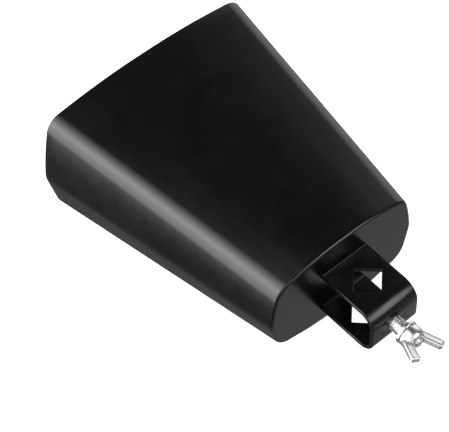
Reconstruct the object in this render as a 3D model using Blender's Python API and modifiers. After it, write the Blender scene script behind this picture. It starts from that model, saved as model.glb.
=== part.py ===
"""Cowbell for a drum set: a welded sheet bell, a U-shaped rod bracket and a wing screw.

The bell lies on one of its broad faces. Parts are modelled in the bell's own frame (+X from the
mouth to the closed end, Z through its thickness) under an empty that tilts it onto the floor.
"""

import math

import bmesh
import bpy
from mathutils import Matrix, Vector

# Bell, outside sizes from its axis. BROAD is the half width of a broad face up to its corner's
# centre, RIDGE the (y, z) where the two leaning halves of a side would meet in a sharp edge.
BELL_LENGTH = 0.1433
MOUTH_HALF_DEPTH = 0.0375
MOUTH_BROAD = 0.0519
MOUTH_CORNER = 0.0102
MOUTH_CROWN = 0.0037
MOUTH_RIDGE = (0.0669, -0.0042)
END_HALF_DEPTH = 0.0276
END_BROAD = 0.0312
END_CORNER = 0.0108
END_CROWN = 0.0039
END_RIDGE = (0.0449, -0.0020)
RIDGE_ROUND = 0.0220
SIDE_SWELL = math.radians(3.5)
FLAT_HALF_WIDTH = 0.0040
SHEET = 0.0013
END_PLATE = 0.0018
END_ROUND = 0.0009
SEAM_GAP = 0.0024
SEAM_PROUD = 0.0005
SEAM_START = 0.0006
END_BEAD_LEG = 0.0022
END_BEAD_HOLLOW = 0.0010

# Rod bracket, a bent strap standing on the end plate.
STRAP_WIDTH = 0.0285
STRAP_HEIGHT = 0.0275
STRAP_THICKNESS = 0.0022
STRAP_REACH = 0.0347
STRAP_BEND = 0.0092
STRAP_DROP = 0.0037
STRAP_SIDE = 0.0007
STRAP_EDGE = 0.0004
DIAMOND_SIDE = 0.0129
DIAMOND_FROM_PLATE = 0.0157
WELD_LEG = 0.0014
WELD_LENGTH = 0.0262
WELD_TOE = 0.0001

# Wing screw.
PITCH = 0.00125
THREAD_RADIUS = 0.0040
THREAD_DEPTH = 0.00068
THREAD_CLEARANCE = 0.00012
TIP_FROM_PLATE = 0.0235
TIP_CHAMFER = 0.0008
THREAD_TURNS = 15
CREST_FLAT = 0.0002
RUN_OUT = 0.3
SHANK_RADIUS = 0.0032
SHANK_DEPTH = 0.0046
WASHER_FROM_PLATE = 0.0410
WASHER_RADIUS = 0.0063
WASHER_BORE = 0.0044
WASHER_THICKNESS = 0.0019
WASHER_EDGE = 0.0005
HUB_RADIUS = 0.0060
HUB_HEIGHT = 0.0064
HUB_SKIRT = 0.0022
HUB_STEP = 0.0005
BOSS_RADIUS = 0.0032
BOSS_HEIGHT = 0.0086
BOSS_ROUND = 0.0018
WING_ROOT = (0.0043, 0.0026)
WING_TIP = (0.0095, 0.0141)
WING_HALF_BREADTH = 0.0023
WING_ROUND = 0.0012
WING_EDGE = 0.0006
WING_THICKNESS = 0.0029
WING_PLANE = math.radians(-18)

GAP = 0.0003
ROUND_STEPS = 32
THREAD_STEPS = 20
CORNER_STEPS = 7
CROWN_STEPS = 5
RIDGE_STEPS = 4
SIDE_STEPS = 4
EDGE_STEPS = 3
BOSS_STEPS = 4
DOME_STEPS = 5
BELL_ROWS = 6

HUB_FROM_PLATE = WASHER_FROM_PLATE + WASHER_THICKNESS + GAP
TILT = math.atan((MOUTH_HALF_DEPTH - END_HALF_DEPTH) / BELL_LENGTH)
OUTWARD = Matrix.Rotation(math.radians(90), 4, "Y")


def clear_scene():
    for obj in list(bpy.data.objects):
        bpy.data.objects.remove(obj, do_unlink=True)


def collection(name, hidden=False):
    made = bpy.data.collections.new(name)
    made.hide_render = hidden
    bpy.context.scene.collection.children.link(made)
    return made


def material(name, colour, roughness, metallic):
    made = bpy.data.materials.new(name)
    made.use_nodes = True
    shader = made.node_tree.nodes["Principled BSDF"]
    shader.inputs["Base Color"].default_value = (*colour, 1.0)
    shader.inputs["Roughness"].default_value = roughness
    shader.inputs["Metallic"].default_value = metallic
    return made


def place(name, mesh, parts, parent, look, matrix=None):
    """Links a mesh as a named sub-part under its parent."""
    obj = bpy.data.objects.new(name, mesh)
    parts.objects.link(obj)
    obj.parent = parent
    if matrix is not None:
        obj.matrix_local = matrix
    if look is not None:
        mesh.materials.append(look)
    return obj


def empty(name, parts, parent=None, matrix=None):
    obj = bpy.data.objects.new(name, None)
    parts.objects.link(obj)
    obj.parent = parent
    if matrix is not None:
        obj.matrix_local = matrix
    return obj


def finish_mesh(bm, name):
    """Faces outward, smooth, with its real edges kept sharp."""
    bmesh.ops.remove_doubles(bm, verts=bm.verts, dist=1e-7)
    bmesh.ops.recalc_face_normals(bm, faces=bm.faces)
    mesh = bpy.data.meshes.new(name)
    bm.to_mesh(mesh)
    bm.free()
    mesh.shade_smooth()
    mesh.set_sharp_from_angle(angle=math.radians(35))
    return mesh


def bell_size(x, inset=0.0):
    """Half depth, broad half width, corner radius, crown and ridge at x, moved in by inset."""
    along = x / BELL_LENGTH

    def blend(mouth, end):
        return mouth + (end - mouth) * along

    return (
        blend(MOUTH_HALF_DEPTH, END_HALF_DEPTH) - inset,
        blend(MOUTH_BROAD, END_BROAD),
        blend(MOUTH_CORNER, END_CORNER) - inset,
        blend(MOUTH_CROWN, END_CROWN),
        Vector((blend(MOUTH_RIDGE[0], END_RIDGE[0]) - inset, blend(MOUTH_RIDGE[1], END_RIDGE[1]))),
    )


def swing(centre, radius, start, stop, steps):
    """(y, z) points round a centre; turns are measured from +Z towards +Y."""
    turns = [start + (stop - start) * step / steps for step in range(steps + 1)]
    return [(centre.x + radius * math.sin(turn), centre.y + radius * math.cos(turn)) for turn in turns]


def side_turn(centre, corner, ridge):
    """Turn at which a straight line to the ridge leaves the corner above it."""
    reach = ridge - centre
    return math.pi / 2 - math.atan2(reach.y, reach.x) - math.acos(corner / reach.length)


def flank(start, out, end, back, steps):
    """Points strictly between two ends on the curve that leaves and meets them along their lines."""
    cross = out.x * back.y - out.y * back.x
    run = end - start
    corner = start + out * (run.x * back.y - run.y * back.x) / cross
    points = []
    for step in range(1, steps):
        share = step / steps
        points.append(start.lerp(corner, share).lerp(corner.lerp(end, share), share))
    return points


def half_outline(x, inset):
    """(y, z) points of the +Y half at x, from the middle of the top face to the bottom's."""
    half_depth, broad, corner, crown, ridge = bell_size(x, inset)
    run = broad - FLAT_HALF_WIDTH
    shares = [step / CROWN_STEPS for step in range(CROWN_STEPS)]
    face = [(FLAT_HALF_WIDTH + run * share, half_depth - crown * share**2) for share in shares]
    slope = math.atan2(2 * crown, run)
    centre = Vector((broad, half_depth - crown - corner))
    upper = side_turn(centre, corner, ridge)
    lower = side_turn(centre, corner, Vector((ridge.x, -ridge.y)))
    half_bend = (math.pi - upper - lower) / 2
    middle = upper + half_bend
    radius = RIDGE_ROUND - inset
    inwards = Vector((math.sin(middle), math.cos(middle))) * radius / math.cos(half_bend)
    leave = upper - SIDE_SWELL
    meet = upper + SIDE_SWELL
    bend = swing(centre, corner, slope, leave, CORNER_STEPS)
    apex = swing(ridge - inwards, radius, meet, math.pi - lower, RIDGE_STEPS)
    out = Vector((math.cos(leave), -math.sin(leave)))
    back = Vector((math.cos(meet), -math.sin(meet)))
    side = flank(Vector(bend[-1]), out, Vector(apex[0]), back, SIDE_STEPS)
    points = face + bend + [tuple(point) for point in side] + apex
    below = face + swing(centre, corner, slope, lower, CORNER_STEPS)
    return points + [(y, -z) for y, z in reversed(below)]


def bell_outline(x, inset=0.0):
    """The bell's outline at x as a closed ring from the ridge of the +Y side, going down."""
    half = half_outline(x, inset)
    ridge = CROWN_STEPS + CORNER_STEPS + SIDE_STEPS + RIDGE_STEPS // 2
    ring = half[ridge:] + [(-y, z) for y, z in reversed(half)] + half[:ridge]
    return [Vector((x, y, z)) for y, z in ring]


def seam_frame(x, inset=0.0):
    """Middle of the seam at x, with its directions up the side and outwards."""
    ring = bell_outline(x, inset)
    up = (ring[-1] - ring[1]).normalized()
    return ring[0], up, Vector((0.0, up.z, -up.y))


def bridge(bm, rings, ring_closed=True, loft_closed=False):
    """Quads between rings of equal length; returns the rings' vertices."""
    made = [[bm.verts.new(point) for point in ring] for ring in rings]
    pairs = list(zip(made, made[1:] + made[:1])) if loft_closed else list(zip(made, made[1:]))
    count = len(made[0])
    for first, second in pairs:
        for i in range(count if ring_closed else count - 1):
            j = (i + 1) % count
            bm.faces.new((first[i], first[j], second[j], second[i]))
    return made


def turned(name, profile):
    """A profile of (radius, height) points, top to bottom, to be turned by a Screw modifier."""
    mesh = bpy.data.meshes.new(name)
    points = [(radius, 0.0, height) for radius, height in profile]
    mesh.from_pydata(points, [(i, i + 1) for i in range(len(points) - 1)], [])
    return mesh


def add_screw(obj, steps=ROUND_STEPS):
    screw = obj.modifiers.new("turn", "SCREW")
    screw.angle = math.tau
    screw.steps = steps
    screw.render_steps = steps
    screw.use_merge_vertices = True
    screw.merge_threshold = 1e-6
    screw.use_smooth_shade = True


def cut(obj, cutter):
    boolean = obj.modifiers.new("cut_" + cutter.name, "BOOLEAN")
    boolean.object = cutter
    boolean.operation = "DIFFERENCE"


def cutter_box(name, size, cutters, parent, matrix):
    bm = bmesh.new()
    bmesh.ops.create_cube(bm, size=1.0, matrix=Matrix.Diagonal((*size, 1.0)))
    return hide_cutter(place(name, finish_mesh(bm, name), cutters, parent, None, matrix))


def cutter_round(name, radius, depth, cutters, parent, matrix):
    bm = bmesh.new()
    bmesh.ops.create_cone(
        bm, cap_ends=True, segments=ROUND_STEPS, radius1=radius, radius2=radius, depth=depth
    )
    return hide_cutter(place(name, finish_mesh(bm, name), cutters, parent, None, matrix))


def hide_cutter(obj):
    obj.hide_render = True
    obj.display_type = "WIRE"
    return obj


def bell_shell(parts, bell, look):
    """One wrapped sheet, open along a butt seam on the ridge of its +Y side."""
    shell_end = BELL_LENGTH - END_PLATE - GAP
    rings = []
    for row in range(BELL_ROWS + 1):
        x = shell_end * row / BELL_ROWS
        middle, up, _ = seam_frame(x)
        edge = up * SEAM_GAP / 2
        rings.append([middle - edge] + bell_outline(x)[1:] + [middle + edge])
    bm = bmesh.new()
    bridge(bm, rings, ring_closed=False)
    mesh = finish_mesh(bm, "bell_shell")
    face_outwards(mesh)
    obj = place("bell_shell", mesh, parts, bell, look)
    solidify = obj.modifiers.new("sheet", "SOLIDIFY")
    solidify.thickness = SHEET
    solidify.offset = -1.0
    solidify.use_even_offset = True
    return obj


def face_outwards(mesh):
    """Turns an open sheet's faces away from the bell's axis."""
    face = mesh.polygons[0]
    away = Vector((0.0, face.center.y, face.center.z))
    if face.normal.dot(away) < 0:
        mesh.flip_normals()


def seam_weld(parts, bell, look):
    """Bead that fills the butt seam, flush outside, proud inside up to the end plate's bead."""
    half = SEAM_GAP / 2 - GAP
    shell_end = BELL_LENGTH - END_PLATE - GAP
    bead_edge = shell_end - END_BEAD_LEG - GAP
    stations = [(SEAM_START, SEAM_PROUD), (bead_edge - SEAM_PROUD, SEAM_PROUD)]
    stations += [(bead_edge, 0.0), (shell_end - GAP, 0.0)]
    rings = []
    for x, proud in stations:
        section = [(0.0, -half), (0.0, half), (-SHEET, half)]
        section += [(-SHEET - proud, half / 2), (-SHEET - proud, -half / 2), (-SHEET, -half)]
        middle, up, out = seam_frame(x)
        rings.append([middle + out * y + up * z for y, z in section])
    bm = bmesh.new()
    made = bridge(bm, rings)
    bm.faces.new(made[0])
    bm.faces.new(made[-1])
    return place("seam_weld", finish_mesh(bm, "seam_weld"), parts, bell, look)


def end_plate(parts, bell, look):
    """Flat plate that closes the narrow end, its outer edge rounded over."""
    rings = [bell_outline(BELL_LENGTH - END_PLATE)]
    for step in range(EDGE_STEPS + 1):
        turn = math.radians(90) * step / EDGE_STEPS
        x = BELL_LENGTH - END_ROUND + END_ROUND * math.sin(turn)
        rings.append(bell_outline(x, END_ROUND * (1 - math.cos(turn))))
    bm = bmesh.new()
    made = bridge(bm, rings)
    bm.faces.new(made[0])
    bm.faces.new(made[-1])
    return place("end_plate", finish_mesh(bm, "end_plate"), parts, bell, look)


def end_plate_weld(parts, bell, look):
    """Fillet bead inside, all round the corner between the shell and the end plate."""
    plate = BELL_LENGTH - END_PLATE - GAP
    wall = SHEET + GAP
    rings = [bell_outline(plate, wall), bell_outline(plate, wall + END_BEAD_LEG)]
    rings.append(bell_outline(plate - END_BEAD_HOLLOW, wall + END_BEAD_HOLLOW))
    rings.append(bell_outline(plate - END_BEAD_LEG, wall))
    bm = bmesh.new()
    bridge(bm, rings, loft_closed=True)
    return place("end_plate_weld", finish_mesh(bm, "end_plate_weld"), parts, bell, look)


def strap_path():
    """Outer side of the bent strap in its (x, z) plane, lower leg to upper leg."""
    half = STRAP_HEIGHT / 2
    bend = STRAP_REACH - STRAP_BEND
    path = [(GAP, -half)]
    for step in range(CORNER_STEPS + 1):
        turn = math.radians(90) * step / CORNER_STEPS
        level = STRAP_BEND - half - STRAP_BEND * math.cos(turn)
        path.append((bend + STRAP_BEND * math.sin(turn), level))
    return path + [(x, -z) for x, z in path[::-1]]


def bracket_strap(parts, cutters, bracket, look):
    """Bent strap with a square hole on its corner in each leg and a round one in its web."""
    half = STRAP_WIDTH / 2
    rings = [[Vector((x, y, z)) for x, z in strap_path()] for y in (-half, half)]
    bm = bmesh.new()
    bridge(bm, rings, ring_closed=False)
    mesh = finish_mesh(bm, "bracket_strap")
    if mesh.polygons[0].normal.z > 0:
        mesh.flip_normals()
    obj = place("bracket_strap", mesh, parts, bracket, look)
    solidify = obj.modifiers.new("thickness", "SOLIDIFY")
    solidify.thickness = STRAP_THICKNESS
    solidify.offset = -1.0
    solidify.use_even_offset = True
    bevel = obj.modifiers.new("edges", "BEVEL")
    bevel.width = STRAP_EDGE
    bevel.segments = 2
    bevel.limit_method = "ANGLE"
    bevel.angle_limit = math.radians(50)
    on_corner = Matrix.Rotation(math.radians(45), 4, "Z")
    through = Matrix.Translation((DIAMOND_FROM_PLATE, 0, 0)) @ on_corner
    size = (DIAMOND_SIDE, DIAMOND_SIDE, 2 * STRAP_HEIGHT)
    cut(obj, cutter_box("diamond_hole", size, cutters, bracket, through))
    web = Matrix.Translation((STRAP_REACH - STRAP_THICKNESS / 2, 0, 0)) @ OUTWARD
    hole = THREAD_RADIUS + THREAD_CLEARANCE
    cut(obj, cutter_round("screw_hole", hole, 4 * STRAP_THICKNESS, cutters, bracket, web))
    return obj


def bracket_weld(name, side, parts, bracket, look):
    """Hollow fillet in the inner corner between one leg and the end plate."""
    leg = STRAP_HEIGHT / 2 - STRAP_THICKNESS - GAP
    points = [(GAP, leg)]
    for step in range(EDGE_STEPS + 1):
        turn = math.radians(90) * step / EDGE_STEPS
        x = GAP + WELD_LEG * (1 - math.sin(turn)) + WELD_TOE
        points.append((x, leg - WELD_LEG * (1 - math.cos(turn)) - WELD_TOE))
    half = WELD_LENGTH / 2
    bm = bmesh.new()
    made = bridge(bm, [[Vector((x, y, z * side)) for x, z in points] for y in (-half, half)])
    bm.faces.new(made[0])
    bm.faces.new(made[-1])
    return place(name, finish_mesh(bm, name), parts, bracket, look)


def screw_stud(parts, screw, look):
    """Threaded stud with a chamfered tip and a plain shank inside the wing head."""
    root = THREAD_RADIUS - THREAD_DEPTH
    start = TIP_FROM_PLATE + TIP_CHAMFER
    top = HUB_FROM_PLATE + SHANK_DEPTH
    profile = [(0.0, top), (SHANK_RADIUS, top)]
    profile.append((SHANK_RADIUS, start + (THREAD_TURNS + RUN_OUT) * PITCH))
    for turn in range(THREAD_TURNS, 0, -1):
        valley = start + turn * PITCH
        crest = valley - PITCH / 2
        profile.append((root, valley))
        profile += [(THREAD_RADIUS, crest + CREST_FLAT / 2), (THREAD_RADIUS, crest - CREST_FLAT / 2)]
    profile += [(root, start), (root - TIP_CHAMFER, TIP_FROM_PLATE), (0.0, TIP_FROM_PLATE)]
    obj = place("screw_stud", turned("screw_stud", profile), parts, screw, look, OUTWARD)
    add_screw(obj, THREAD_STEPS)
    return obj


def washer(parts, carrier, look):
    """Loose washer that travels with the wing head."""
    low = WASHER_FROM_PLATE
    high = low + WASHER_THICKNESS
    inside = WASHER_RADIUS - WASHER_EDGE
    profile = [(WASHER_BORE, high), (inside, high), (WASHER_RADIUS, high - WASHER_EDGE)]
    profile += [(WASHER_RADIUS, low + WASHER_EDGE), (inside, low)]
    profile += [(WASHER_BORE, low), (WASHER_BORE, high)]
    obj = place("washer", turned("washer", profile), parts, carrier, look, OUTWARD)
    add_screw(obj)
    return obj


def wing_points():
    """A wing's flat outline in (radius, height), a bar leaning outwards with rounded tip corners."""
    root = Vector(WING_ROOT)
    tip = Vector(WING_TIP)
    along = (tip - root).normalized()
    across = Vector((along.y, -along.x))
    points = [root - across * WING_HALF_BREADTH, root + across * WING_HALF_BREADTH]
    for side in (1, -1):
        centre = tip - along * WING_ROUND + across * side * (WING_HALF_BREADTH - WING_ROUND)
        for step in range(EDGE_STEPS + 1):
            share = step / EDGE_STEPS if side > 0 else 1 - step / EDGE_STEPS
            turn = math.radians(90) * share
            way = across * side * math.cos(turn) + along * math.sin(turn)
            points.append(centre + way * WING_ROUND)
    return points


def wing_mesh():
    """The outline thickened by a 2D curve's extrusion, in the XZ plane."""
    curve = bpy.data.curves.new("wing_outline", "CURVE")
    curve.dimensions = "2D"
    curve.fill_mode = "BOTH"
    curve.extrude = WING_THICKNESS / 2
    points = wing_points()
    spline = curve.splines.new("POLY")
    spline.points.add(len(points) - 1)
    for spot, point in zip(spline.points, points):
        spot.co = (point.x, point.y, 0.0, 1.0)
    spline.use_cyclic_u = True
    guide = bpy.data.objects.new("wing_outline", curve)
    bpy.context.scene.collection.objects.link(guide)
    bpy.context.view_layer.update()
    graph = bpy.context.evaluated_depsgraph_get()
    flat = bpy.data.meshes.new_from_object(guide.evaluated_get(graph))
    bpy.data.objects.remove(guide)
    bm = bmesh.new()
    bm.from_mesh(flat)
    bmesh.ops.rotate(bm, verts=bm.verts, matrix=Matrix.Rotation(math.radians(90), 3, "X"))
    bmesh.ops.remove_doubles(bm, verts=bm.verts, dist=1e-6)
    sharp = [edge for edge in bm.edges if edge.calc_face_angle(0) > math.radians(60)]
    bmesh.ops.bevel(bm, geom=sharp, offset=WING_EDGE, segments=2, profile=0.5, affect="EDGES")
    return finish_mesh(bm, "wing")


def wing_head(parts, cutters, screw, look):
    """Cast hub with a rounded boss, a blind bore for the stud and two leaning wings."""
    profile = [(0.0, BOSS_HEIGHT)]
    for step in range(1, BOSS_STEPS + 1):
        turn = math.radians(90) * step / BOSS_STEPS
        height = BOSS_HEIGHT - BOSS_ROUND * (1 - math.cos(turn))
        profile.append((BOSS_RADIUS * math.sin(turn), height))
    neck = BOSS_RADIUS + HUB_STEP
    for step in range(DOME_STEPS + 1):
        turn = math.radians(90) * step / DOME_STEPS
        radius = neck + (HUB_RADIUS - neck) * math.sin(turn)
        profile.append((radius, HUB_SKIRT + (HUB_HEIGHT - HUB_SKIRT) * math.cos(turn)))
    profile += [(HUB_RADIUS - HUB_STEP, 0.0), (0.0, 0.0)]
    seat = Matrix.Translation((HUB_FROM_PLATE, 0, 0)) @ Matrix.Rotation(WING_PLANE, 4, "X") @ OUTWARD
    obj = place("wing_head", turned("wing_head", profile), parts, screw, look, seat)
    add_screw(obj)
    mesh = wing_mesh()
    for number, half_turn in enumerate((90, 270)):
        spin = seat @ Matrix.Rotation(math.radians(half_turn), 4, "Z")
        wing = hide_cutter(place(f"wing_{number}", mesh, cutters, screw, None, spin))
        join = obj.modifiers.new(f"wing_{number}", "BOOLEAN")
        join.operation = "UNION"
        join.object = wing
    reach = SHANK_DEPTH + GAP
    cut(obj, cutter_round("stud_bore", SHANK_RADIUS + GAP, 2 * reach, cutters, screw, seat))
    return obj


def stand_on_floor(root, parts):
    """Moves the root so that the whole cowbell stands centred on the origin."""
    bpy.context.view_layer.update()
    graph = bpy.context.evaluated_depsgraph_get()
    corners = []
    for obj in parts.objects:
        if obj.type == "MESH":
            shape = obj.evaluated_get(graph)
            corners += [shape.matrix_world @ Vector(vertex.co) for vertex in shape.data.vertices]
    low = Vector([min(corner[i] for corner in corners) for i in range(3)])
    high = Vector([max(corner[i] for corner in corners) for i in range(3)])
    root.location = (-(low.x + high.x) / 2, -(low.y + high.y) / 2, -low.z)


def build():
    clear_scene()
    parts = collection("cowbell")
    cutters = collection("cutters", hidden=True)
    black = material("black_paint", (0.012, 0.012, 0.013), 0.32, 0.0)
    raw = material("weld_paint", (0.014, 0.014, 0.015), 0.45, 0.0)
    zinc = material("zinc_plate", (0.80, 0.81, 0.83), 0.22, 1.0)
    root = empty("cowbell_frame", parts)
    bell = empty("bell_axis", parts, root, Matrix.Rotation(TILT, 4, "Y"))
    foot = Matrix.Translation((BELL_LENGTH, STRAP_SIDE, -STRAP_DROP))
    bracket = empty("bracket_axis", parts, bell, foot)
    carrier = empty("screw_slide", parts, bracket)
    screw = empty("screw_turn", parts, carrier)
    bell_shell(parts, bell, black)
    seam_weld(parts, bell, raw)
    end_plate(parts, bell, black)
    end_plate_weld(parts, bell, raw)
    bracket_strap(parts, cutters, bracket, black)
    bracket_weld("bracket_weld_upper", 1, parts, bracket, raw)
    bracket_weld("bracket_weld_lower", -1, parts, bracket, raw)
    washer(parts, carrier, zinc)
    screw_stud(parts, screw, zinc)
    wing_head(parts, cutters, screw, zinc)
    stand_on_floor(root, parts)


build()
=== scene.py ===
"""Looks of a drum-set cowbell: a welded sheet bell, its rod bracket and a plated wing screw.

Pieces are modelled in the bell's own frame (+X from the mouth to the closed end, Z through its
thickness) or in the bracket's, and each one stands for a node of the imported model.
"""

import math

import bmesh
import bpy
from mathutils import Euler, Matrix, Vector


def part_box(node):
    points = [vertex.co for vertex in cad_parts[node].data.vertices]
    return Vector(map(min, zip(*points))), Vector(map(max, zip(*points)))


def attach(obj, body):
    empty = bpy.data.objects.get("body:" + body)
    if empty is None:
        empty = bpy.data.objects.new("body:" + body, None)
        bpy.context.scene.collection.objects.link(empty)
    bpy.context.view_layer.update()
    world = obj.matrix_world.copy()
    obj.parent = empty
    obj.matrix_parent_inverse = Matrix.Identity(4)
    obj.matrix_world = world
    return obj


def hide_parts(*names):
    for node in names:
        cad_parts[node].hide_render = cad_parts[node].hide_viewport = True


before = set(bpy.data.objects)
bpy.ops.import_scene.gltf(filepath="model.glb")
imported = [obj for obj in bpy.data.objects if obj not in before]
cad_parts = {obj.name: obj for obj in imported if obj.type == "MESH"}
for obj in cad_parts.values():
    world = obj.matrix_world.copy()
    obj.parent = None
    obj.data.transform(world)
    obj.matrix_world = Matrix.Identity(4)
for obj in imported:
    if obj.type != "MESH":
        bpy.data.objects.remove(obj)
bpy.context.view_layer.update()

# Bell, the same driving dimensions as the frame's, from its axis. BROAD is the half width of a
# broad face up to its corner's centre, RIDGE the (y, z) where a side's two halves would meet.
BELL_LENGTH = 0.1433
MOUTH_HALF_DEPTH = 0.0375
MOUTH_BROAD = 0.0519
MOUTH_CORNER = 0.0102
MOUTH_CROWN = 0.0037
MOUTH_RIDGE = (0.0669, -0.0042)
END_HALF_DEPTH = 0.0276
END_BROAD = 0.0312
END_CORNER = 0.0108
END_CROWN = 0.0039
END_RIDGE = (0.0449, -0.0020)
RIDGE_ROUND = 0.0220
SIDE_SWELL = math.radians(3.5)
FLAT_HALF_WIDTH = 0.0040
SHEET = 0.0013
END_PLATE = 0.0018
END_ROUND = 0.0013
END_FACE_RINGS = (1.4, 6.0)
SEAM_GAP = 0.0024
SEAM_SKIP = 3
JOINT_LINE = 0.00003

# Rod bracket.
STRAP_WIDTH = 0.0285
STRAP_HEIGHT = 0.0275
STRAP_THICKNESS = 0.0022
STRAP_REACH = 0.0347
STRAP_BEND = 0.0092
STRAP_DROP = 0.0037
STRAP_SIDE = 0.0007
STRAP_EDGE = 0.0004
STRAP_EASED_FROM = 50
STRAP_FOOT = 0.0002
DIAMOND_SIDE = 0.0129
DIAMOND_FROM_PLATE = 0.0157
SCREW_HOLE = 0.00412

# Weld beads.
SEAM_PROUD = 0.0005
SEAM_CROWN = 0.00010
END_BEAD = 0.0021
BRACKET_BEAD = 0.0015
BRACKET_BEAD_LENGTH = 0.0262
ROOT_FILLET = 0.0006
RIPPLE_PITCH = 0.0021
RIPPLE_SHARE = 0.16

# Wing screw, an M8.
PITCH = 0.00125
THREAD_RADIUS = 0.0040
THREAD_DEPTH = 0.00068
THREAD_ROOT_SHARE = 0.08
THREAD_FLANK_SHARE = 0.80
TIP_FROM_PLATE = 0.0235
TIP_CHAMFER = 0.0009
SHANK_RADIUS = 0.0032
SHANK_DEPTH = 0.0046
WASHER_FROM_PLATE = 0.0410
WASHER_RADIUS = 0.0063
WASHER_BORE = 0.0044
WASHER_THICKNESS = 0.0019
WASHER_EDGE = 0.0006
HEAD_GAP = 0.0003
HUB_RADIUS = 0.0060
HUB_HEIGHT = 0.0064
HUB_SKIRT = 0.0022
HUB_FOOT = 0.0005
BOSS_RADIUS = 0.0028
BOSS_HEIGHT = 0.0080
BOSS_ROUND = 0.0023
NECK_STEP = 0.0002
WING_ROOT = (0.0043, 0.0026)
WING_TIP = (0.0095, 0.0141)
WING_HALF_BREADTH = 0.0025
WING_ROUND = 0.0012
WING_EDGE = 0.0010
WING_THICKNESS = 0.0034
WING_RIM = 0.0011
WING_POCKET = 0.00012
WING_PLANE = math.radians(-18)
CAST_VOXEL = 0.00017
CAST_SMOOTHING = 6

# How finely the curved surfaces are cut.
CROWN_STEPS = 10
CORNER_STEPS = 16
RIDGE_STEPS = 12
SIDE_STEPS = 12
BELL_ROWS = 24
BEND_STEPS = 18
LIP_STEPS = 8
EDGE_STEPS = 6
DOME_STEPS = 12
FOOT_STEPS = 4
COVE_STEPS = 16
ROUND_STEPS = 64
RING_STEPS = 300
ROWS_PER_PITCH = 12
ROWS_PER_SEAM_RIPPLE = 6
ROWS_PER_BEAD_RIPPLE = 8
EASING_SEGMENTS = 3
MERGE = 1e-7

# Smallest angle, in degrees, of an edge that is drawn sharp.
SHARP = 35
SHARP_STRAP = 40
SHARP_SCREW = 50
SHARP_BEAD = 60

# Surfaces: waves per metre of each noise, and the part of its range that is used.
PAINT_CLOUDS = 60
PAINT_GLOSS = 140
PEEL_WAVES = 420
GRAIN_WAVES = 2600
PLATING_CLOUDS = 900
PLATING_GLOSS = 1400
NOISE_LOW = 0.3
NOISE_HIGH = 0.7
TONE_STOPS = (0.35, 0.65)

# View.
CAMERA_PLACE = (0.42904, -0.3439, 0.68823)
CAMERA_TURN = (39.938, 4.1479, 49.0864)
CAMERA_LENS = 142.91
SENSOR = 36.0

# Studio: the paper cove, then the light around it. The panel is graded by its roll, in degrees
# up from the horizon on the -Y side, and reaches PANEL_HALF to each side of x = -PANEL_MIDDLE. A
# glow is a direction, the cosines where it starts and is full, and its brightness.
COVE_FLOOR = 1.6
COVE_INNER = 0.3
COVE_BEND = 0.6
COVE_TOP = 3.0
COVE_GLOW = 0.9
AIR = 0.02
PANEL_MIDDLE = 0.35
PANEL_HALF = (0.35, 0.65)
PANEL_LEVELS = [
    (-180, 0.05), (-110, 0.10), (-80, 0.14), (-58, 0.10), (-45, 0.06), (-39.5, 0.06), (-36, 0.12),
    (-34.5, 0.27), (-32, 0.85), (-29.5, 2.1), (-24, 2.9), (-15, 3.5), (0, 4.6), (15, 5.7),
    (28, 6.7), (40, 5.6), (50, 4.2), (60, 3.0), (70, 1.8), (80, 0.95), (88, 0.30), (95, 0.05),
    (105, 0.01), (112, 0.01), (118, 0.03), (125, 0.06), (133, 0.14), (145, 0.35), (180, 0.4),
]
GLOWS = [
    ((0.50, 0.45, -0.74), 0.30, 0.95, 0.38),
    ((-0.53, 0.84, 0.10), 0.80, 0.95, 0.8),
    ((0.66, -0.50, 0.56), 0.66, 0.93, 0.82),
    ((-1.0, 0.0, 0.15), 0.78, 0.97, 1.6),
    ((0.76, 0.38, 0.53), 0.915, 0.995, 4.6),
]

TILT = math.atan((MOUTH_HALF_DEPTH - END_HALF_DEPTH) / BELL_LENGTH)
HEAD_FROM_PLATE = WASHER_FROM_PLATE + WASHER_THICKNESS + HEAD_GAP
MOUTH_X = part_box("bell_shell")[0].x + MOUTH_HALF_DEPTH * math.sin(TILT)
AXIS_HEIGHT = MOUTH_HALF_DEPTH * math.cos(TILT)
BELL = Matrix.Translation((MOUTH_X, 0, AXIS_HEIGHT)) @ Matrix.Rotation(TILT, 4, "Y")
BRACKET = BELL @ Matrix.Translation((BELL_LENGTH, STRAP_SIDE, -STRAP_DROP))
OUTWARD = Matrix.Rotation(math.radians(90), 4, "Y")
SCREW = BRACKET @ OUTWARD
HEAD_SEAT = BRACKET @ Matrix.Translation((HEAD_FROM_PLATE, 0, 0))
HEAD = HEAD_SEAT @ Matrix.Rotation(WING_PLANE, 4, "X") @ OUTWARD


# Mesh helpers.


def mesh_of(bm, name, sharp=SHARP):
    """Ends a bmesh as a smooth-shaded mesh with its real edges kept sharp."""
    bmesh.ops.remove_doubles(bm, verts=bm.verts, dist=MERGE)
    bmesh.ops.recalc_face_normals(bm, faces=bm.faces)
    mesh = bpy.data.meshes.new(name)
    bm.to_mesh(mesh)
    bm.free()
    mesh.shade_smooth()
    mesh.set_sharp_from_angle(angle=math.radians(sharp))
    return mesh


def show(name, mesh, matrix, look):
    obj = bpy.data.objects.new(name, mesh)
    bpy.context.scene.collection.objects.link(obj)
    obj.matrix_world = matrix
    if look is not None:
        mesh.materials.append(look)
    return obj


def show_set(name, mesh, matrix, look):
    """Shows the mesh with its place already in its points, for the pieces set at an angle."""
    mesh.transform(matrix)
    return show(name, mesh, Matrix.Identity(4), look)


def stand_for(obj, node, body):
    """The piece rides on the body in place of that CAD node."""
    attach(obj, body)
    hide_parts(node)
    return obj


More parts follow.
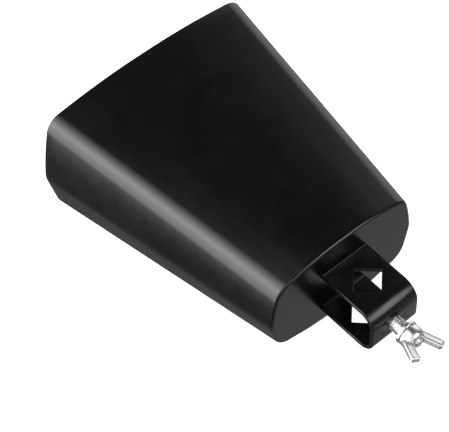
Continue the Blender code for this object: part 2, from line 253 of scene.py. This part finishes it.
def bridge(bm, rings, ring_closed=True, capped=True):
    """Quads between rings of equal length, with both ends capped if asked."""
    made = [[bm.verts.new(point) for point in ring] for ring in rings]
    count = len(made[0])
    for first, second in zip(made, made[1:]):
        for i in range(count if ring_closed else count - 1):
            j = (i + 1) % count
            bm.faces.new((first[i], first[j], second[j], second[i]))
    if capped:
        bm.faces.new(made[0])
        bm.faces.new(made[-1])
    return made


def bridge_round(bm, rings):
    """Quads between closed rings that themselves form a closed loop."""
    made = bridge(bm, rings, capped=False)
    first, last = made[-1], made[0]
    count = len(first)
    for i in range(count):
        j = (i + 1) % count
        bm.faces.new((first[i], first[j], last[j], last[i]))


def circle(radius, height, steps=ROUND_STEPS):
    """Points round Z at that radius and height; a radius of 0 gives the one on Z."""
    if radius == 0:
        return [Vector((0, 0, height))]
    angles = [math.tau * step / steps for step in range(steps)]
    return [Vector((radius * math.cos(a), radius * math.sin(a), height)) for a in angles]


def turn_faces(bm, profile):
    """Faces round Z through (radius, height) points, closed on itself unless it starts on Z."""
    rings = [[bm.verts.new(point) for point in circle(*spot)] for spot in profile]
    pairs = list(zip(rings, rings[1:]))
    if profile[0][0] > 0:
        pairs.append((rings[-1], rings[0]))
    for first, second in pairs:
        for i in range(ROUND_STEPS):
            j = (i + 1) % ROUND_STEPS
            corners = [first[i % len(first)], first[j % len(first)]]
            corners += [second[j % len(second)], second[i % len(second)]]
            bm.faces.new(list(dict.fromkeys(corners)))


def turn_mesh(name, profile):
    """A turned mesh about Z from (radius, height) points; a radius of 0 closes an end."""
    bm = bmesh.new()
    turn_faces(bm, profile)
    return mesh_of(bm, name)


def arc(centre, radius, start, stop, steps):
    """(u, v) points round a centre from one angle to another, in degrees."""
    angles = [math.radians(start + (stop - start) * step / steps) for step in range(steps + 1)]
    return [(centre[0] + radius * math.cos(a), centre[1] + radius * math.sin(a)) for a in angles]


def evenly(ring, count):
    """The closed ring's points moved to equal distances along it."""
    loop = ring + ring[:1]
    runs = [0.0]
    for here, there in zip(loop, loop[1:]):
        runs.append(runs[-1] + (there - here).length)
    points, side = [], 0
    for step in range(count):
        at = runs[-1] * step / count
        while runs[side + 1] < at:
            side += 1
        share = (at - runs[side]) / max(runs[side + 1] - runs[side], 1e-12)
        points.append(loop[side].lerp(loop[side + 1], share))
    return points


def ripple(distance):
    """Height of a weld bead along its run, of overlapping pools: 1 down to 1 - RIPPLE_SHARE."""
    phase = (distance / RIPPLE_PITCH) % 1.0
    return 1.0 - RIPPLE_SHARE * (2 * phase - 1) ** 2


# The bell.


def bell_size(x, inset=0.0):
    """Half depth, broad half width, corner radius, crown and ridge at x, moved in by inset."""
    along = x / BELL_LENGTH

    def blend(mouth, end):
        return mouth + (end - mouth) * along

    return (
        blend(MOUTH_HALF_DEPTH, END_HALF_DEPTH) - inset,
        blend(MOUTH_BROAD, END_BROAD),
        blend(MOUTH_CORNER, END_CORNER) - inset,
        blend(MOUTH_CROWN, END_CROWN),
        Vector((blend(MOUTH_RIDGE[0], END_RIDGE[0]) - inset, blend(MOUTH_RIDGE[1], END_RIDGE[1]))),
    )


def swing(centre, radius, start, stop, steps):
    """(y, z) points round a centre; turns are measured from +Z towards +Y."""
    turns = [start + (stop - start) * step / steps for step in range(steps + 1)]
    return [(centre.x + radius * math.sin(t), centre.y + radius * math.cos(t)) for t in turns]


def side_turn(centre, corner, ridge):
    """Turn at which a straight line to the ridge leaves the corner above it."""
    reach = ridge - centre
    return math.pi / 2 - math.atan2(reach.y, reach.x) - math.acos(corner / reach.length)


def flank(start, out, end, back, steps):
    """Points between two ends, on the curve that leaves and meets them along their lines."""
    cross = out.x * back.y - out.y * back.x
    run = end - start
    corner = start + out * (run.x * back.y - run.y * back.x) / cross
    points = []
    for step in range(1, steps):
        share = step / steps
        points.append(start.lerp(corner, share).lerp(corner.lerp(end, share), share))
    return points


def half_outline(x, inset):
    """(y, z) points of the +Y half at x, from the middle of the top face to the bottom's."""
    half_depth, broad, corner, crown, ridge = bell_size(x, inset)
    run = broad - FLAT_HALF_WIDTH
    shares = [step / CROWN_STEPS for step in range(CROWN_STEPS)]
    face = [(FLAT_HALF_WIDTH + run * share, half_depth - crown * share**2) for share in shares]
    slope = math.atan2(2 * crown, run)
    centre = Vector((broad, half_depth - crown - corner))
    upper = side_turn(centre, corner, ridge)
    lower = side_turn(centre, corner, Vector((ridge.x, -ridge.y)))
    half_bend = (math.pi - upper - lower) / 2
    middle = upper + half_bend
    radius = RIDGE_ROUND - inset
    inwards = Vector((math.sin(middle), math.cos(middle))) * radius / math.cos(half_bend)
    leave = upper - SIDE_SWELL
    meet = upper + SIDE_SWELL
    bend = swing(centre, corner, slope, leave, CORNER_STEPS)
    apex = swing(ridge - inwards, radius, meet, math.pi - lower, RIDGE_STEPS)
    out = Vector((math.cos(leave), -math.sin(leave)))
    back = Vector((math.cos(meet), -math.sin(meet)))
    side = flank(Vector(bend[-1]), out, Vector(apex[0]), back, SIDE_STEPS)
    points = face + bend + [tuple(point) for point in side] + apex
    below = face + swing(centre, corner, slope, lower, CORNER_STEPS)
    return points + [(y, -z) for y, z in reversed(below)]


def bell_outline(x, inset=0.0):
    """The bell's outline at x as a closed ring from the ridge of the +Y side, going down."""
    half = half_outline(x, inset)
    ridge = CROWN_STEPS + CORNER_STEPS + SIDE_STEPS + RIDGE_STEPS // 2
    ring = half[ridge:] + [(-y, z) for y, z in reversed(half)] + half[:ridge]
    return [Vector((x, y, z)) for y, z in ring]


def seam_frame(x, inset=0.0):
    """Middle of the seam at x, with its directions up the side and outwards."""
    ring = bell_outline(x, inset)
    up = (ring[-1] - ring[1]).normalized()
    return ring[0], up, Vector((0.0, up.z, -up.y))


def bell_shell(look):
    """The wrapped sheet with both walls, a rounded lip at the mouth and the slit of its seam."""
    end = BELL_LENGTH - END_PLATE - JOINT_LINE
    lip = SHEET / 2
    along = [lip + (end - lip) * row / BELL_ROWS for row in range(BELL_ROWS + 1)]
    walls = [(x, 0.0) for x in reversed(along)]
    walls += [(lip - u, lip - v) for u, v in arc((0, 0), lip, 90, -90, LIP_STEPS)][1:-1]
    walls += [(x, SHEET) for x in along]
    rings = []
    for x, inset in walls:
        middle, up, _ = seam_frame(x, inset)
        edge = up * SEAM_GAP / 2
        ring = bell_outline(x, inset)[SEAM_SKIP:1 - SEAM_SKIP]
        rings.append([middle - edge] + ring + [middle + edge])
    bm = bmesh.new()
    bridge(bm, [list(section) for section in zip(*rings)])
    return show_set("bell_body", mesh_of(bm, "bell_body"), BELL, look)


def seam_weld(look):
    """The bead in the seam: ground nearly flush and painted outside, rippled and proud inside."""
    half = SEAM_GAP / 2
    run = BELL_LENGTH - END_PLATE - JOINT_LINE
    rows = int(run / (RIPPLE_PITCH / ROWS_PER_SEAM_RIPPLE))
    across = [math.radians(180 * step / LIP_STEPS) for step in range(LIP_STEPS + 1)]
    rings = []
    for row in range(rows + 1):
        x = SHEET / 2 + (run - SHEET / 2) * row / rows
        middle, up, out = seam_frame(x)
        crown = SEAM_CROWN * ripple(x)
        proud = SEAM_PROUD * ripple(x + RIPPLE_PITCH / 3) * min(1.0, (run - x) / END_BEAD)
        outer = [(crown * math.sin(a), half * math.cos(a)) for a in across]
        inner = [(-SHEET - proud * math.sin(a), -half * math.cos(a)) for a in across]
        rings.append([middle + out * y + up * z for y, z in outer + inner])
    bm = bmesh.new()
    bridge(bm, rings)
    return show_set("seam_bead", mesh_of(bm, "seam_bead", SHARP_BEAD), BELL, look)


def end_plate(look):
    """The closing plate, its edge rounded over and blended into the sheet."""
    rows = [(BELL_LENGTH - END_PLATE, 0.0)]
    centre = (BELL_LENGTH - END_ROUND, END_ROUND)
    rows += arc(centre, END_ROUND, -90, 0, LIP_STEPS)
    rows += [(BELL_LENGTH, share * END_ROUND) for share in END_FACE_RINGS]
    bm = bmesh.new()
    bridge(bm, [bell_outline(x, inset) for x, inset in rows])
    return show_set("end_plate_face", mesh_of(bm, "end_plate_face"), BELL, look)


def end_plate_weld(look):
    """The rippled bead inside, all round the corner between sheet and end plate."""
    plate = BELL_LENGTH - END_PLATE
    outline = bell_outline(plate)
    girth = sum((b - a).length for a, b in zip(outline, outline[1:]))
    angles = [math.radians(90 * step / EDGE_STEPS) for step in range(EDGE_STEPS + 1)]
    section = [(0.0, 0.0)] + [(math.cos(a), math.sin(a)) for a in angles]
    rings = []
    for step in range(RING_STEPS):
        size = END_BEAD * ripple(girth * step / RING_STEPS)
        ring = []
        for back, inwards in section:
            around = evenly(bell_outline(plate - back * size, SHEET + inwards * size), RING_STEPS)
            ring.append(around[step])
        rings.append(ring)
    bm = bmesh.new()
    bridge_round(bm, rings)
    return show_set("end_plate_bead", mesh_of(bm, "end_plate_bead", SHARP_BEAD), BELL, look)


# The rod bracket.


def strap_path():
    """Outer side of the bent strap in its (x, z) plane, lower leg to upper leg."""
    half = STRAP_HEIGHT / 2
    bend = STRAP_REACH - STRAP_BEND
    lower = arc((bend, STRAP_BEND - half), STRAP_BEND, -90, 0, BEND_STEPS)
    path = [(STRAP_FOOT, -half)] + lower
    return path + [(x, -z) for x, z in path[::-1]]


def cutter(name, mesh, matrix):
    """A shape that only cuts: it is never shown."""
    obj = bpy.data.objects.new(name, mesh)
    bpy.context.scene.collection.objects.link(obj)
    obj.matrix_world = matrix
    obj.hide_render = True
    obj.hide_viewport = True
    return obj


def plug(radius, top, foot):
    """Profile of a solid cylinder between two heights."""
    return [(0, top), (radius, top), (radius, foot), (0, foot)]


def cube_mesh(name, size):
    bm = bmesh.new()
    bmesh.ops.create_cube(bm, size=1.0, matrix=Matrix.Diagonal((*size, 1.0)))
    return mesh_of(bm, name)


def bake_modifiers(obj):
    """Keeps what the modifiers make as the object's own mesh."""
    bpy.context.view_layer.update()
    graph = bpy.context.evaluated_depsgraph_get()
    mesh = bpy.data.meshes.new_from_object(obj.evaluated_get(graph))
    obj.modifiers.clear()
    obj.data = mesh
    return obj


def cut(obj, tools):
    for tool in tools:
        boolean = obj.modifiers.new(tool.name, "BOOLEAN")
        boolean.object = tool
        boolean.operation = "DIFFERENCE"
    bake_modifiers(obj)
    for tool in tools:
        bpy.data.objects.remove(tool)


def bracket_strap(look):
    """The bent strap with its two diamond holes and the screw hole, every edge eased."""
    half = STRAP_WIDTH / 2
    bm = bmesh.new()
    bridge(bm, [[Vector((x, y, z)) for x, z in strap_path()] for y in (-half, half)], False, False)
    mesh = mesh_of(bm, "bracket_body", SHARP_BEAD)
    if mesh.polygons[0].normal.z > 0:
        mesh.flip_normals()
    obj = show_set("bracket_body", mesh, BRACKET, look)
    solidify = obj.modifiers.new("thickness", "SOLIDIFY")
    solidify.thickness = STRAP_THICKNESS
    solidify.offset = -1.0
    solidify.use_even_offset = True
    bake_modifiers(obj)
    on_corner = Matrix.Rotation(math.radians(45), 4, "Z")
    corner_up = Matrix.Translation((DIAMOND_FROM_PLATE, 0, 0)) @ on_corner
    diamond = cube_mesh("diamond", (DIAMOND_SIDE, DIAMOND_SIDE, 2 * STRAP_HEIGHT))
    hole = turn_mesh("hole", plug(SCREW_HOLE, STRAP_HEIGHT, 0.0))
    web = Matrix.Translation((STRAP_REACH - STRAP_HEIGHT / 2, 0, 0)) @ OUTWARD
    cut(obj, [cutter("diamond", diamond, BRACKET @ corner_up), cutter("hole", hole, BRACKET @ web)])
    bevel = obj.modifiers.new("eased", "BEVEL")
    bevel.width = STRAP_EDGE
    bevel.segments = EASING_SEGMENTS
    bevel.limit_method = "ANGLE"
    bevel.angle_limit = math.radians(STRAP_EASED_FROM)
    bake_modifiers(obj)
    obj.data.shade_smooth()
    obj.data.set_sharp_from_angle(angle=math.radians(SHARP_STRAP))
    return obj


def bracket_weld(name, side, look):
    """The rippled fillet inside a leg and the thin painted fillet along its outer root."""
    inner = STRAP_HEIGHT / 2 - STRAP_THICKNESS
    half = BRACKET_BEAD_LENGTH / 2
    rows = int(2 * half / (RIPPLE_PITCH / ROWS_PER_BEAD_RIPPLE))
    rings = []
    for row in range(rows + 1):
        y = -half + 2 * half * row / rows
        size = BRACKET_BEAD * ripple(y + half)
        face = arc((size, inner - size), size, 90, 180, EDGE_STEPS)
        rings.append([Vector((x, y, z * side)) for x, z in [(0.0, inner)] + face])
    bm = bmesh.new()
    bridge(bm, rings)
    outer = STRAP_HEIGHT / 2
    reach = STRAP_WIDTH / 2 - STRAP_EDGE
    face = arc((ROOT_FILLET, outer + ROOT_FILLET), ROOT_FILLET, 270, 180, EDGE_STEPS)
    ends = [[Vector((x, y, z * side)) for x, z in [(0.0, outer)] + face] for y in (-reach, reach)]
    bridge(bm, ends)
    return show_set(name, mesh_of(bm, name, SHARP_BEAD), BRACKET, look)


# The wing screw.


def thread_radius(height, angle):
    """Radius of the right-hand thread: rounded crests and roots, fading out at both ends."""
    phase = (height / PITCH - angle / math.tau) % 1.0
    crest = 0.5 + 0.5 * math.cos(math.tau * phase)
    crest = min(1.0, max(0.0, (crest - THREAD_ROOT_SHARE) / THREAD_FLANK_SHARE))
    start = (height - TIP_FROM_PLATE) / TIP_CHAMFER
    end = (HEAD_FROM_PLATE - height) / PITCH
    fade = min(1.0, max(0.0, start)) * min(1.0, max(0.0, end))
    return THREAD_RADIUS - THREAD_DEPTH + THREAD_DEPTH * crest * fade


def screw_stud(look):
    """The threaded stud, a chamfered tip at one end and a plain shank inside the head."""
    rows = round((HEAD_FROM_PLATE - TIP_FROM_PLATE) / PITCH * ROWS_PER_PITCH)
    angles = [math.tau * step / ROUND_STEPS for step in range(ROUND_STEPS)]
    bm = bmesh.new()
    rings = []
    for row in range(rows + 1):
        height = TIP_FROM_PLATE + (HEAD_FROM_PLATE - TIP_FROM_PLATE) * row / rows
        taper = max(0.0, 1 - (height - TIP_FROM_PLATE) / TIP_CHAMFER) * TIP_CHAMFER
        ring = []
        for a in angles:
            radius = thread_radius(height, a) - taper
            ring.append(Vector((radius * math.cos(a), radius * math.sin(a), height)))
        rings.append(ring)
    for height in (HEAD_FROM_PLATE, HEAD_FROM_PLATE + SHANK_DEPTH):
        rings.append(circle(SHANK_RADIUS, height))
    bridge(bm, rings)
    return show("stud_thread", mesh_of(bm, "stud_thread", SHARP_SCREW), SCREW, look)


def washer(look):
    """The thick washer: turned, its outer edges rounded and its bore chamfered."""
    low = WASHER_FROM_PLATE
    high = low + WASHER_THICKNESS
    reach = WASHER_RADIUS - WASHER_EDGE
    chamfer = WASHER_EDGE / 3
    profile = [(WASHER_BORE + chamfer, high)]
    profile += arc((reach, high - WASHER_EDGE), WASHER_EDGE, 90, 0, EDGE_STEPS)
    profile += arc((reach, low + WASHER_EDGE), WASHER_EDGE, 0, -90, EDGE_STEPS)
    profile += [(WASHER_BORE + chamfer, low), (WASHER_BORE, low + chamfer)]
    profile += [(WASHER_BORE, high - chamfer)]
    return show("washer_ring", turn_mesh("washer_ring", profile), SCREW, look)


def hub_mesh():
    """Dome of the head with a rounded boss standing on it, closed underneath."""
    middle = (BOSS_RADIUS - BOSS_ROUND, BOSS_HEIGHT - BOSS_ROUND)
    crown = arc(middle, BOSS_ROUND, 90, 0, EDGE_STEPS)
    neck = BOSS_RADIUS + NECK_STEP
    dome = []
    for step in range(DOME_STEPS + 1):
        turn = math.radians(90) * step / DOME_STEPS
        radius = neck + (HUB_RADIUS - neck) * math.sin(turn)
        dome.append((radius, HUB_SKIRT + (HUB_HEIGHT - HUB_SKIRT) * math.cos(turn)))
    foot = arc((HUB_RADIUS - HUB_FOOT, HUB_FOOT), HUB_FOOT, 0, -90, FOOT_STEPS)
    return turn_mesh("hub", [(0, BOSS_HEIGHT)] + crown + dome + foot + [(0, 0.0)])


def wing_outline():
    """A wing's flat outline in (radius, height): a bar leaning outwards with a rounded tip."""
    root = Vector(WING_ROOT)
    tip = Vector(WING_TIP)
    along = (tip - root).normalized()
    across = Vector((along.y, -along.x))
    points = [root - across * WING_HALF_BREADTH, root + across * WING_HALF_BREADTH]
    for side in (1, -1):
        centre = tip - along * WING_ROUND + across * side * (WING_HALF_BREADTH - WING_ROUND)
        start, stop = (0, 90) if side > 0 else (90, 0)
        turns = arc((0, 0), 1.0, start, stop, EDGE_STEPS)
        points += [centre + (across * side * u + along * v) * WING_ROUND for u, v in turns]
    return points


def broad_faces(bm):
    """The two flat many-sided faces of a wing that looks along Y."""
    flat = [face for face in bm.faces if abs(face.normal.y) > 0.99]
    return [face for face in flat if len(face.verts) > 8]


def wing_mesh():
    """A wing with a shallow pocket in each broad face and rounded rims."""
    half = WING_THICKNESS / 2
    bm = bmesh.new()
    bridge(bm, [[Vector((p.x, y, p.y)) for p in wing_outline()] for y in (-half, half)])
    bmesh.ops.recalc_face_normals(bm, faces=bm.faces)
    broad = broad_faces(bm)
    rim = [edge for face in broad for edge in face.edges]
    bmesh.ops.bevel(
        bm, geom=rim, offset=WING_EDGE, segments=EASING_SEGMENTS, profile=0.5, affect="EDGES"
    )
    broad = broad_faces(bm)
    bmesh.ops.inset_individual(bm, faces=broad, thickness=WING_RIM - WING_EDGE + WING_POCKET)
    bmesh.ops.inset_individual(bm, faces=broad, thickness=WING_POCKET, depth=-WING_POCKET)
    return mesh_of(bm, "wing")


def wing_head(look):
    """Hub and wings fused as one casting, then bored for the stud."""
    bm = bmesh.new()
    bm.from_mesh(hub_mesh())
    for half_turn in (90, 270):
        wing = wing_mesh()
        wing.transform(Matrix.Rotation(math.radians(half_turn), 4, "Z"))
        bm.from_mesh(wing)
    mesh = bpy.data.meshes.new("head_casting")
    bm.to_mesh(mesh)
    bm.free()
    obj = show("head_casting", mesh, HEAD, look)
    fuse = obj.modifiers.new("fuse", "REMESH")
    fuse.mode = "VOXEL"
    fuse.voxel_size = CAST_VOXEL
    soften = obj.modifiers.new("soften", "SMOOTH")
    soften.factor = 0.5
    soften.iterations = CAST_SMOOTHING
    bake_modifiers(obj)
    bore = SHANK_RADIUS + HEAD_GAP
    depth = SHANK_DEPTH + HEAD_GAP
    cut(obj, [cutter("drill", turn_mesh("drill", plug(bore, depth, -depth)), HEAD)])
    obj.data.shade_smooth()
    obj.data.set_sharp_from_angle(angle=math.radians(SHARP_SCREW))
    return obj


# Materials.


def principled(name, metallic, specular=0.5):
    made = bpy.data.materials.new(name)
    made.use_nodes = True
    shader = made.node_tree.nodes["Principled BSDF"]
    shader.inputs["Metallic"].default_value = metallic
    shader.inputs["Specular IOR Level"].default_value = specular
    return made, made.node_tree, shader


def noise(tree, scale, detail=2.0, stretch=(1, 1, 1)):
    """Noise in the piece's own coordinates; scale is in waves per metre."""
    where = tree.nodes.new("ShaderNodeTexCoord")
    mapping = tree.nodes.new("ShaderNodeMapping")
    mapping.inputs["Scale"].default_value = stretch
    made = tree.nodes.new("ShaderNodeTexNoise")
    made.inputs["Scale"].default_value = scale
    made.inputs["Detail"].default_value = detail
    tree.links.new(where.outputs["Object"], mapping.inputs["Vector"])
    tree.links.new(mapping.outputs["Vector"], made.inputs["Vector"])
    return made.outputs["Fac"]


def spread(tree, value, low, high):
    """Maps the middle of a noise's range onto low to high."""
    made = tree.nodes.new("ShaderNodeMapRange")
    made.inputs["From Min"].default_value = NOISE_LOW
    made.inputs["From Max"].default_value = NOISE_HIGH
    made.inputs["To Min"].default_value = low
    made.inputs["To Max"].default_value = high
    tree.links.new(value, made.inputs["Value"])
    return made.outputs["Result"]


def two_tone(tree, value, first, second):
    made = tree.nodes.new("ShaderNodeValToRGB")
    for stop, place, tone in zip(made.color_ramp.elements, TONE_STOPS, (first, second)):
        stop.position = place
        stop.color = (*tone, 1)
    tree.links.new(value, made.inputs["Fac"])
    return made.outputs["Color"]


def bumps(tree, shader, layers):
    """Bump from several heights, each a (value, depth in metres) pair."""
    normal = None
    for value, depth in layers:
        made = tree.nodes.new("ShaderNodeBump")
        made.inputs["Distance"].default_value = depth
        tree.links.new(value, made.inputs["Height"])
        if normal is not None:
            tree.links.new(normal, made.inputs["Normal"])
        normal = made.outputs["Normal"]
    tree.links.new(normal, shader.inputs["Normal"])


def paint(name, tones, roughness, specular, peel, grain):
    """Sprayed black enamel: cloudy tone, uneven gloss, orange peel and fine dust grain."""
    made, tree, shader = principled(name, 0.0, specular)
    clouds = two_tone(tree, noise(tree, PAINT_CLOUDS, 4), *tones)
    gloss = spread(tree, noise(tree, PAINT_GLOSS, 5), *roughness)
    tree.links.new(clouds, shader.inputs["Base Color"])
    tree.links.new(gloss, shader.inputs["Roughness"])
    bumps(tree, shader, [(noise(tree, PEEL_WAVES), peel), (noise(tree, GRAIN_WAVES), grain)])
    return made


def plating(name, tones, roughness, layers):
    """Bright zinc: cloudy tone, uneven gloss and the marks of how the piece was made."""
    made, tree, shader = principled(name, 1.0)
    clouds = two_tone(tree, noise(tree, PLATING_CLOUDS, 4), *tones)
    gloss = spread(tree, noise(tree, PLATING_GLOSS, 4), *roughness)
    tree.links.new(clouds, shader.inputs["Base Color"])
    tree.links.new(gloss, shader.inputs["Roughness"])
    heights = [(noise(tree, scale, 3, stretch), depth) for scale, stretch, depth in layers]
    bumps(tree, shader, heights)
    return made


def make_looks():
    black = ((0.0023, 0.0023, 0.0025), (0.0036, 0.0036, 0.0038))
    zinc = ((0.76, 0.77, 0.79), (0.88, 0.88, 0.89))
    cast = ((0.74, 0.75, 0.77), (0.90, 0.90, 0.91))
    turned = [(500, (1, 1, 14), 1e-6), (4000, (1, 1, 1), 0.5e-6)]
    grained = [(500, (1, 1, 1), 6e-6), (5200, (1, 1, 1), 0.6e-6)]
    return {
        "bell_paint": paint("bell_enamel", black, (0.19, 0.24), 0.5, 0.8e-5, 1.2e-6),
        "bracket_paint": paint("bracket_enamel", black, (0.19, 0.25), 0.45, 0.8e-5, 1.2e-6),
        "weld_paint": paint("weld_enamel", black, (0.36, 0.46), 0.3, 1.5e-5, 3.0e-6),
        "bright_plating": plating("zinc_turned", zinc, (0.22, 0.30), turned),
        "cast_plating": plating("zinc_cast", cast, (0.24, 0.34), grained),
    }


# Studio.


def cove():
    """Pale floor that curves up into a wall all round. Seen from below it is clear."""
    profile = [(0, 0.0), (COVE_FLOOR * COVE_INNER, 0.0)]
    profile += arc((COVE_FLOOR, COVE_BEND), COVE_BEND, -90, 0, COVE_STEPS)
    profile.append((COVE_FLOOR + COVE_BEND, COVE_TOP))
    bm = bmesh.new()
    turn_faces(bm, profile)
    bmesh.ops.reverse_faces(bm, faces=bm.faces)
    mesh = bpy.data.meshes.new("cove")
    bm.to_mesh(mesh)
    bm.free()
    mesh.shade_smooth()
    obj = show("cove", mesh, Matrix.Identity(4), cove_look())
    obj.visible_glossy = False
    obj.visible_diffuse = False
    obj.visible_shadow = False


def cove_look():
    """White diffuse paper with its own glow, see-through from behind."""
    made = bpy.data.materials.new("pale_paper")
    made.use_nodes = True
    tree = made.node_tree
    shader = tree.nodes["Principled BSDF"]
    shader.inputs["Base Color"].default_value = (0.8, 0.8, 0.8, 1)
    shader.inputs["Roughness"].default_value = 0.9
    shader.inputs["Specular IOR Level"].default_value = 0.0
    shader.inputs["Emission Color"].default_value = (1, 1, 1, 1)
    shader.inputs["Emission Strength"].default_value = COVE_GLOW
    clear = tree.nodes.new("ShaderNodeBsdfTransparent")
    side = tree.nodes.new("ShaderNodeNewGeometry")
    mix = tree.nodes.new("ShaderNodeMixShader")
    tree.links.new(side.outputs["Backfacing"], mix.inputs[0])
    tree.links.new(shader.outputs["BSDF"], mix.inputs[1])
    tree.links.new(clear.outputs["BSDF"], mix.inputs[2])
    tree.links.new(mix.outputs[0], tree.nodes["Material Output"].inputs["Surface"])
    return made


def graded(tree, value, levels):
    """Brightness against a value from -1 to 1, from (value, brightness) pairs."""
    made = tree.nodes.new("ShaderNodeFloatCurve")
    peak = max(level for _, level in levels)
    curve = made.mapping.curves[0]
    for place, level in levels[1:-1]:
        curve.points.new((place + 1) / 2, level / peak)
    curve.points[0].location = (0.0, levels[0][1] / peak)
    curve.points[-1].location = (1.0, levels[-1][1] / peak)
    made.mapping.update()
    half = math_node(tree, "MULTIPLY_ADD", value, 0.5, 0.5)
    tree.links.new(half, made.inputs["Value"])
    return math_node(tree, "MULTIPLY", made.outputs["Value"], peak)


def math_node(tree, operation, *values):
    """A Math node whose inputs are sockets or plain numbers."""
    made = tree.nodes.new("ShaderNodeMath")
    made.operation = operation
    for socket, value in zip(made.inputs, values):
        if isinstance(value, (int, float)):
            socket.default_value = value
        else:
            tree.links.new(value, socket)
    return made.outputs[0]


def falling(tree, value, full, none):
    """1 up to the first value, falling smoothly to 0 at the second."""
    level = tree.nodes.new("ShaderNodeMapRange")
    level.interpolation_type = "SMOOTHSTEP"
    level.inputs["From Min"].default_value = full
    level.inputs["From Max"].default_value = none
    level.inputs["To Min"].default_value = 1.0
    level.inputs["To Max"].default_value = 0.0
    tree.links.new(value, level.inputs["Value"])
    return level.outputs["Result"]


def lobe(tree, where, direction, start, full, strength):
    """Brightness that rises smoothly round one direction."""
    facing = tree.nodes.new("ShaderNodeVectorMath")
    facing.operation = "DOT_PRODUCT"
    facing.inputs[1].default_value = Vector(direction).normalized()
    tree.links.new(where, facing.inputs[0])
    level = tree.nodes.new("ShaderNodeMapRange")
    level.interpolation_type = "SMOOTHSTEP"
    level.inputs["From Min"].default_value = start
    level.inputs["From Max"].default_value = full
    level.inputs["To Max"].default_value = strength
    tree.links.new(facing.outputs["Value"], level.inputs["Value"])
    return level.outputs["Result"]


def studio_air():
    """The studio around the table: a tall graded panel on one side, soft glows on the others."""
    world = bpy.data.worlds.new("studio")
    world.use_nodes = True
    bpy.context.scene.world = world
    tree = world.node_tree
    where = tree.nodes.new("ShaderNodeTexCoord").outputs["Generated"]
    split = tree.nodes.new("ShaderNodeSeparateXYZ")
    tree.links.new(where, split.inputs[0])
    forward = math_node(tree, "MULTIPLY", split.outputs["Y"], -1.0)
    roll = math_node(tree, "ARCTAN2", split.outputs["Z"], forward)
    levels = [(turn / 180, level) for turn, level in PANEL_LEVELS]
    panel = graded(tree, math_node(tree, "MULTIPLY", roll, 1 / math.pi), levels)
    aside = math_node(tree, "ABSOLUTE", math_node(tree, "ADD", split.outputs["X"], PANEL_MIDDLE))
    total = math_node(tree, "MULTIPLY", panel, falling(tree, aside, *PANEL_HALF))
    for glow in GLOWS:
        total = math_node(tree, "ADD", total, lobe(tree, where, *glow))
    total = math_node(tree, "ADD", total, AIR)
    tree.links.new(total, tree.nodes["Background"].inputs["Strength"])
    tree.nodes["Background"].inputs["Color"].default_value = (1, 1, 1, 1)


def camera():
    data = bpy.data.cameras.new("camera")
    data.lens = CAMERA_LENS
    data.sensor_width = SENSOR
    data.sensor_fit = "HORIZONTAL"
    obj = bpy.data.objects.new("camera", data)
    bpy.context.scene.collection.objects.link(obj)
    obj.location = CAMERA_PLACE
    obj.rotation_euler = Euler([math.radians(turn) for turn in CAMERA_TURN], "XYZ")
    bpy.context.scene.camera = obj


def dress():
    """Every piece in the place of its node."""
    looks = make_looks()
    stand_for(bell_shell(looks["bell_paint"]), "bell_shell", "bell")
    stand_for(end_plate(looks["bell_paint"]), "end_plate", "bell")
    stand_for(seam_weld(looks["weld_paint"]), "seam_weld", "bell")
    stand_for(end_plate_weld(looks["weld_paint"]), "end_plate_weld", "bell")
    stand_for(bracket_strap(looks["bracket_paint"]), "bracket_strap", "bell")
    for side, level in ((1, "upper"), (-1, "lower")):
        bead = bracket_weld(f"bracket_bead_{level}", side, looks["weld_paint"])
        stand_for(bead, f"bracket_weld_{level}", "bell")
    stand_for(washer(looks["bright_plating"]), "washer", "washer")
    stand_for(screw_stud(looks["bright_plating"]), "screw_stud", "wing_screw")
    stand_for(wing_head(looks["cast_plating"]), "wing_head", "wing_screw")


bpy.context.scene.view_settings.view_transform = "Standard"
dress()
cove()
studio_air()
camera()
